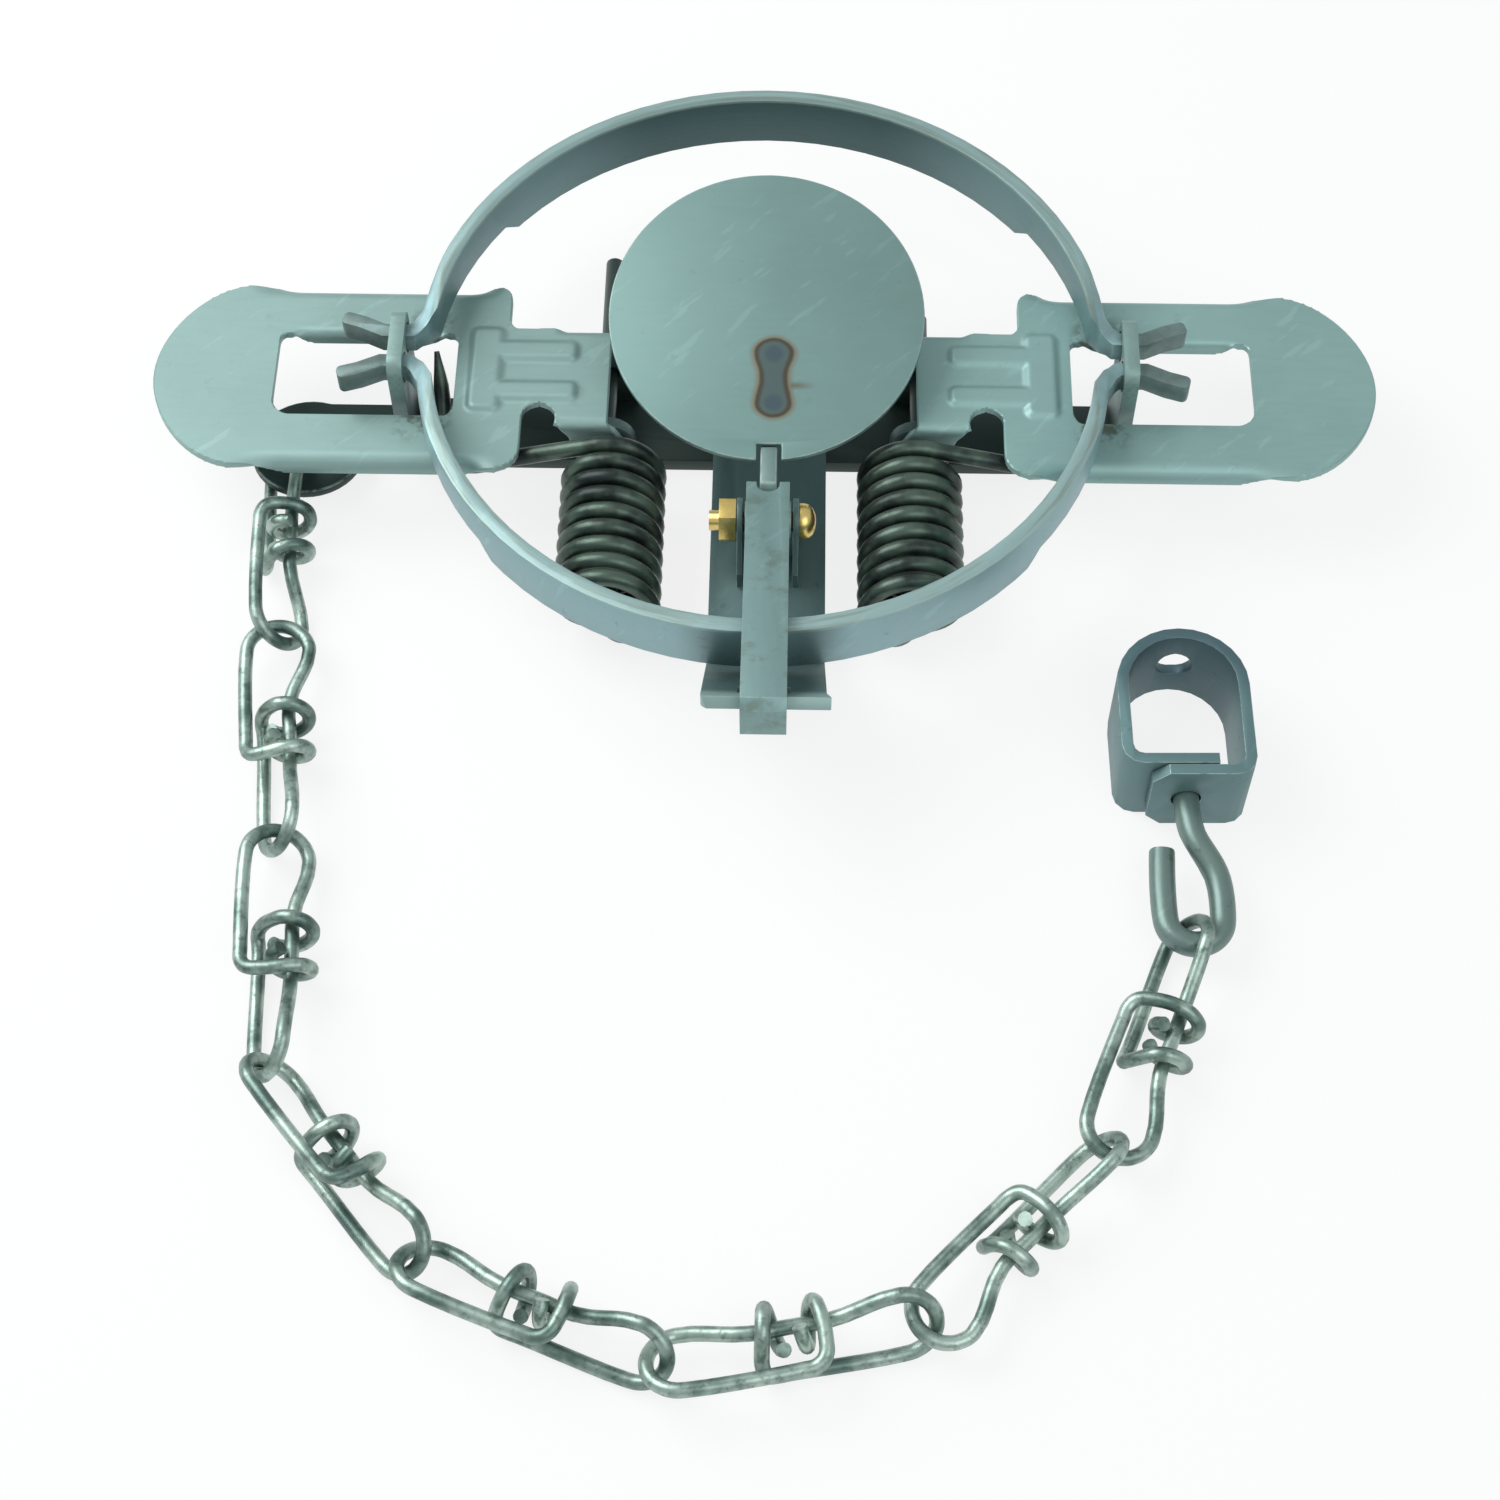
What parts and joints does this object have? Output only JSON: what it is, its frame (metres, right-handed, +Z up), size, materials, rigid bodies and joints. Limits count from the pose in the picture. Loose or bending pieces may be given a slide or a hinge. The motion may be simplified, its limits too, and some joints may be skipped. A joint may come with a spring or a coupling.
{
  "type": "coil spring trap",
  "caption": "Coil spring foothold trap set open: hinged half-round jaws, sprung levers, pan, dog and a swivelled chain.",
  "frame": {"origin": "centre of the base bar's underside, on the ground", "axes": "+X to the right along the base bar and levers, -Y towards the dog and the chain's free run, +Z up"},
  "size_m": [0.25, 0.2807, 0.0412],
  "materials": {
    "steel": "plain rolled steel, oil darkened",
    "dark_steel": "plain dark steel",
    "spring_steel": "dark oil-tempered wire",
    "chain_steel": "plain drawn wire",
    "brass": "plain brass"
  },
  "bodies": {
    "frame": {"base_bar": "steel", "cross_bar": "steel", "chain_lug": "dark_steel", "frame_rivet_left": "dark_steel", "frame_rivet_right": "dark_steel", "lug_rivet": "dark_steel", "left_lever_pin": "dark_steel", "right_lever_pin": "dark_steel", "left_spring": "spring_steel", "right_spring": "spring_steel", "pan_bolt": "brass", "pan_nut": "brass"},
    "front_jaw": {"front_jaw": "steel"},
    "rear_jaw": {"rear_jaw": "steel"},
    "left_lever": {"left_lever": "steel"},
    "right_lever": {"right_lever": "steel"},
    "pan": {"pan_disc": "steel", "pan_shank": "steel"},
    "dog": {"dog": "steel"},
    "chain_link_1": {"chain_link_1": "chain_steel"},
    "chain_link_2": {"chain_link_2": "chain_steel"},
    "chain_link_3": {"chain_link_3": "chain_steel"},
    "chain_link_4": {"chain_link_4": "chain_steel"},
    "chain_link_5": {"chain_link_5": "chain_steel"},
    "chain_link_6": {"chain_link_6": "chain_steel"},
    "chain_link_7": {"chain_link_7": "chain_steel"},
    "chain_link_8": {"chain_link_8": "chain_steel"},
    "swivel_eye": {"swivel_eye": "dark_steel"},
    "swivel_strap": {"swivel_strap": "steel"}
  },
  "joints": [
    {"name": "front_jaw_hinge", "type": "hinge", "parent": "frame", "child": "front_jaw", "pos_m": [0, -0.0039, 0.0275], "axis": [-1, 0, 0], "range_deg": [0, 80]},
    {"name": "rear_jaw_hinge", "type": "hinge", "parent": "frame", "child": "rear_jaw", "pos_m": [0, 0.0039, 0.0275], "axis": [1, 0, 0], "range_deg": [0, 80]},
    {"name": "left_lever_hinge", "type": "hinge", "parent": "frame", "child": "left_lever", "pos_m": [-0.0323, 0, 0.0116], "axis": [0, 1, 0], "range_deg": [0, 19.2]},
    {"name": "right_lever_hinge", "type": "hinge", "parent": "frame", "child": "right_lever", "pos_m": [0.0323, 0, 0.0116], "axis": [0, -1, 0], "range_deg": [0, 19.2]},
    {"name": "pan_hinge", "type": "hinge", "parent": "frame", "child": "pan", "pos_m": [0.0015, -0.0326, 0.016], "axis": [1, 0, 0], "range_deg": [-10, 0]},
    {"name": "dog_hinge", "type": "hinge", "parent": "frame", "child": "dog", "pos_m": [0.0015, -0.0875, 0.035], "axis": [1, 0, 0], "range_deg": [0, 238]},
    {"name": "chain_link_1_hinge", "type": "hinge", "parent": "frame", "child": "chain_link_1", "pos_m": [-0.099, -0.0076, 0.0065], "axis": [0, 0, 1], "range_deg": [-24, 1]},
    {"name": "chain_link_2_hinge", "type": "hinge", "parent": "chain_link_1", "child": "chain_link_2", "pos_m": [-0.09547, -0.0568, 0.0065], "axis": [0, 0, 1], "range_deg": [-24, 1]},
    {"name": "chain_link_3_hinge", "type": "hinge", "parent": "chain_link_2", "child": "chain_link_3", "pos_m": [-0.09046, -0.10373, 0.0065], "axis": [0, 0, 1], "range_deg": [-24, 1]},
    {"name": "chain_link_4_hinge", "type": "hinge", "parent": "chain_link_3", "child": "chain_link_4", "pos_m": [-0.08741, -0.15083, 0.0065], "axis": [0, 0, 1], "range_deg": [-24, 1]},
    {"name": "chain_link_5_hinge", "type": "hinge", "parent": "chain_link_4", "child": "chain_link_5", "pos_m": [-0.05707, -0.18699, 0.0065], "axis": [0, 0, 1], "range_deg": [-24, 1.5]},
    {"name": "chain_link_6_hinge", "type": "hinge", "parent": "chain_link_5", "child": "chain_link_6", "pos_m": [-0.01313, -0.20421, 0.0065], "axis": [0, 0, 1], "range_deg": [-24, 1.5]},
    {"name": "chain_link_7_hinge", "type": "hinge", "parent": "chain_link_6", "child": "chain_link_7", "pos_m": [0.03319, -0.19513, 0.0065], "axis": [0, 0, 1], "range_deg": [-24, 1.5]},
    {"name": "chain_link_8_hinge", "type": "hinge", "parent": "chain_link_7", "child": "chain_link_8", "pos_m": [0.06568, -0.16089, 0.0065], "axis": [0, 0, 1], "range_deg": [-24, 1.5]},
    {"name": "swivel_eye_hinge", "type": "hinge", "parent": "chain_link_8", "child": "swivel_eye", "pos_m": [0.08252, -0.11679, 0.0065], "axis": [0, 0, 1], "range_deg": [-24, 1.5]},
    {"name": "swivel_turn", "type": "hinge", "parent": "swivel_eye", "child": "swivel_strap", "pos_m": [0.08208, -0.09179, 0.00925], "axis": [-0.0175, 0.9998, 0], "continuous": true}
  ],
  "couplings": [
    {"joint": "rear_jaw_hinge", "follows": "front_jaw_hinge", "ratio": 1},
    {"joint": "left_lever_hinge", "follows": "front_jaw_hinge", "ratio": 0.24},
    {"joint": "right_lever_hinge", "follows": "front_jaw_hinge", "ratio": 0.24},
    {"joint": "dog_hinge", "follows": "front_jaw_hinge", "ratio": 2.97}
  ]
}
